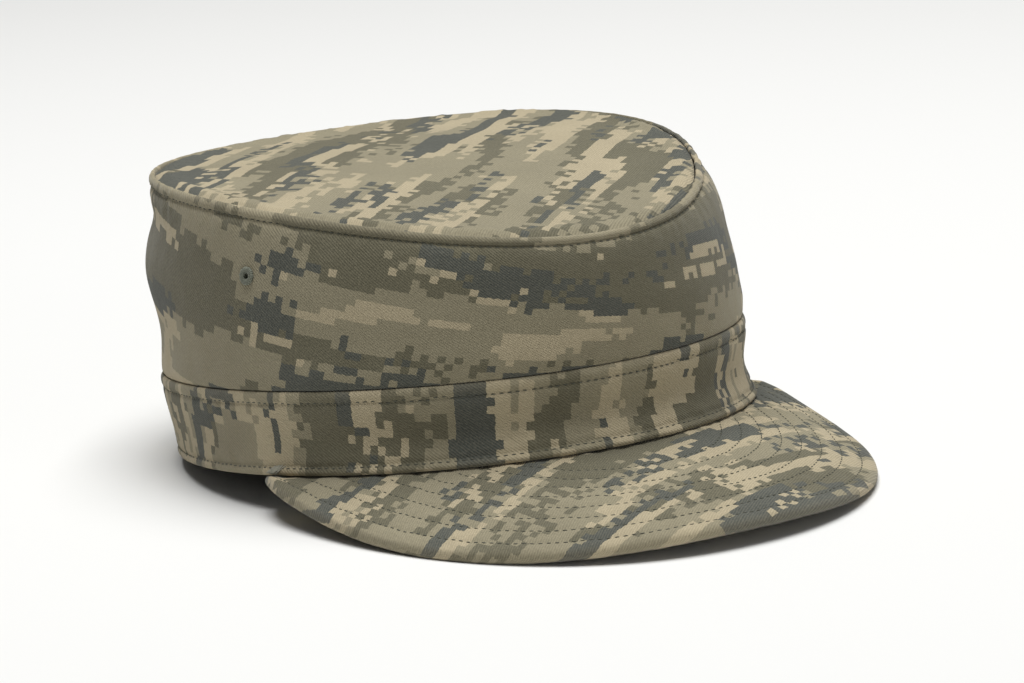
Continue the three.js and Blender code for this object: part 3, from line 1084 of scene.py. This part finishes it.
class CAP_OT_stitching(bpy.types.Operator):
    """Sews the rows of the welt, the band and the peak, and the tacks at its corners"""

    bl_idname = "cap.stitching"
    bl_label = "Stitching"

    def execute(self, context):
        sizes = context.scene.cap_sizes
        colours = context.scene.cap_colours
        thread = spun_thread("Spun polyester thread, seams", colours.thread)
        turns = [math.radians(0.5) * i for i in range(-360, 361)]
        for name, carrier, share, up, out in RING_ROWS:
            bm = bmesh.new()
            path = [wall_point(turn, share, up, out) for turn in turns]
            sew(bm, surface_of(carrier), path)
            new_piece(name, bm, [thread])
        surface = surface_of("peak_cover")
        rim = peak_rim()
        quarter = math.radians(90)
        edge = [
            peak_edge(quarter * math.sin(quarter * i / 180)) for i in range(-180, 181)
        ]
        for name, facing in (("peak_stitches", 1), ("peak_stitches_below", -1)):
            bm = bmesh.new()
            for number in range(sizes.rows):
                inset = (sizes.first_row + number * sizes.row_pitch) / MM
                path = self.inset_path(edge, rim, inset, surface, facing)
                sew(bm, surface, path)
            new_piece(name, bm, [thread])
        thread = spun_thread("Spun polyester thread, corner tacks", colours.tack_thread)
        for name, side in SIDES:
            self.corner_tack(name, side, thread)
        return {"FINISHED"}

    def inset_path(self, edge, rim, inset, surface, facing):
        """The line that keeps one distance from the peak's outer edge, on its upper face
        where facing is 1 and on its lower one where it is -1."""
        path = []
        for before, here, after in zip(edge, edge[1:], edge[2:]):
            along = (after - before).xy
            if along.length < 1e-6:
                continue
            inward = Vector((-along.y, along.x)).normalized()
            in_front = abs(here.x) < PEAK_FRONT_HALF
            if (inward.y < 0) if in_front else (inward.x * here.x > 0):
                inward = -inward
            spot = here.xy + inward * inset
            # At a tight corner the line would cross itself, nearer to another part of the edge.
            if rim.find((spot.x, spot.y, 0))[2] < inset - 0.15:
                continue
            start = Vector((spot.x, spot.y, facing * CLEAR_HEIGHT))
            hit = surface.ray_cast(start * MM, Vector((0, 0, -facing)))[0]
            if hit is not None and not self.under_band(hit / MM):
                path.append(hit / MM)
        return path

    def under_band(self, point):
        """True where the band hides the peak."""
        bearing = math.atan2(-point.x, HEAD_CENTRE_Y - point.y)
        hem = wall_point(bearing, -1, 0, HEM_COVER)
        middle = Vector((0, HEAD_CENTRE_Y))
        return (point.xy - middle).length < (hem.xy - middle).length

    def corner_tack(self, name, side, thread):
        """A slanting bar tack of close stitches where the peak's corner meets the band."""
        surface = surface_of("band")
        bm = bmesh.new()
        for number in range(TACK_STITCHES):
            bearing = TACK_BEARING + number * TACK_STEP
            low = wall_point(math.radians(bearing) * side, -1, TACK_ENDS[0], 0.4)
            high = math.radians(bearing - TACK_SLANT) * side
            high = wall_point(high, -1, TACK_ENDS[1], 0.4)
            middle = low.lerp(high, 0.5 + 0.08 * ripple(number * 1.7, side, 6))
            lay_stitch(
                bm, surface, middle, (high - low).normalized(), TACK_LENGTH * MM,
                TACK_THREAD * MM, TACK_RISE,
            )
        new_piece(f"corner_tack_{name}", bm, [thread])


class CAP_OT_studio(bpy.types.Operator):
    """Makes the pale floor, the soft lights and the camera at the photograph's angle"""

    bl_idname = "cap.studio"
    bl_label = "Studio"

    def execute(self, context):
        scene = context.scene
        colours = scene.cap_colours
        bm = bmesh.new()
        bmesh.ops.create_grid(bm, x_segments=1, y_segments=1, size=FLOOR_HALF)
        mesh = bpy.data.meshes.new("floor")
        bm.to_mesh(mesh)
        bm.free()
        floor = bpy.data.objects.new("floor", mesh)
        scene.collection.objects.link(floor)
        # Board painted matt white: flat and even, so that only the cap's soft shadow shows.
        material = new_material("Matt white studio board")
        tree = material.node_tree
        shader = add(
            tree, "ShaderNodeBsdfPrincipled",
            {"Base Color": (*colours.floor, 1), "Roughness": 0.9, "Specular IOR Level": 0.2},
        )
        add(tree, "ShaderNodeOutputMaterial", {"Surface": shader})
        mesh.materials.append(material)

        world = bpy.data.worlds.new("Soft white room")
        scene.world = world
        world.use_nodes = True
        backdrop = world.node_tree.nodes["Background"]
        backdrop.inputs["Color"].default_value = (1, 1, 1, 1)
        backdrop.inputs["Strength"].default_value = ROOM_LIGHT
        for box in SOFT_BOXES:
            self.soft_box(*box)
        self.place_camera(scene)
        scene.view_settings.view_transform = "Standard"
        return {"FINISHED"}

    def soft_box(self, name, place, size, power):
        """A square light that looks at the cap."""
        data = bpy.data.lights.new(name, "AREA")
        data.shape = "SQUARE"
        data.size = size
        data.energy = power
        light = bpy.data.objects.new(name, data)
        bpy.context.scene.collection.objects.link(light)
        light.location = place
        aim = Vector((0, 0, 0.05)) - Vector(place)
        light.rotation_mode = "QUATERNION"
        light.rotation_quaternion = aim.to_track_quat("-Z", "Y")

    def place_camera(self, scene):
        """The camera at the photograph's place, angle and roll."""
        turn, rise, roll = map(math.radians, (CAMERA_TURN, CAMERA_RISE, CAMERA_ROLL))
        back = Vector((
            math.sin(turn) * math.cos(rise), -math.cos(turn) * math.cos(rise), math.sin(rise),
        ))
        level = Vector((math.cos(turn), math.sin(turn), 0))
        above = back.cross(level)
        right = level * math.cos(roll) + above * math.sin(roll)
        up = above * math.cos(roll) - level * math.sin(roll)
        place = level * CAMERA_ASIDE + back * CAMERA_AWAY
        place += Vector((0, HEAD_CENTRE_Y, CAMERA_UP))
        data = bpy.data.cameras.new("camera")
        data.lens = CAMERA_LENS
        data.sensor_width = SENSOR_WIDTH
        data.sensor_fit = "HORIZONTAL"
        data.clip_start, data.clip_end = 0.05, 50
        camera = bpy.data.objects.new("camera", data)
        scene.collection.objects.link(camera)
        turned = Matrix((right, up, back)).transposed().to_4x4()
        camera.matrix_world = Matrix.Translation(place * MM) @ turned
        scene.camera = camera


class CAP_PT_sidebar(bpy.types.Panel):
    """Lists the cap's pieces, sizes and colours"""

    bl_idname = "CAP_PT_sidebar"
    bl_label = "Field cap"
    bl_space_type = "VIEW_3D"
    bl_region_type = "UI"
    bl_category = "Field cap"

    def draw(self, context):
        layout = self.layout
        for group in (context.scene.cap_sizes, context.scene.cap_colours):
            box = layout.box()
            for name in group.__annotations__:
                box.prop(group, name)
        for operator in OPERATORS:
            layout.operator(operator.bl_idname)


OPERATORS = (
    CAP_OT_studio, CAP_OT_top_panel, CAP_OT_side_wall, CAP_OT_head_band, CAP_OT_peak,
    CAP_OT_eyelets, CAP_OT_stitching,
)
CLASSES = (CapSizes, CapColours, *OPERATORS, CAP_PT_sidebar)


def register():
    """Adds the classes and the scene's settings to Blender."""
    for item in CLASSES:
        bpy.utils.register_class(item)
    bpy.types.Scene.cap_sizes = PointerProperty(type=CapSizes)
    bpy.types.Scene.cap_colours = PointerProperty(type=CapColours)


def unregister():
    """Takes them out again."""
    del bpy.types.Scene.cap_colours
    del bpy.types.Scene.cap_sizes
    for item in reversed(CLASSES):
        bpy.utils.unregister_class(item)


def main():
    """Makes the whole scene."""
    register()
    bpy.ops.cap.studio()
    bpy.ops.cap.top_panel()
    bpy.ops.cap.side_wall()
    bpy.ops.cap.head_band()
    bpy.ops.cap.peak()
    bpy.ops.cap.eyelets()
    bpy.ops.cap.stitching()


if __name__ == "__main__":
    main()
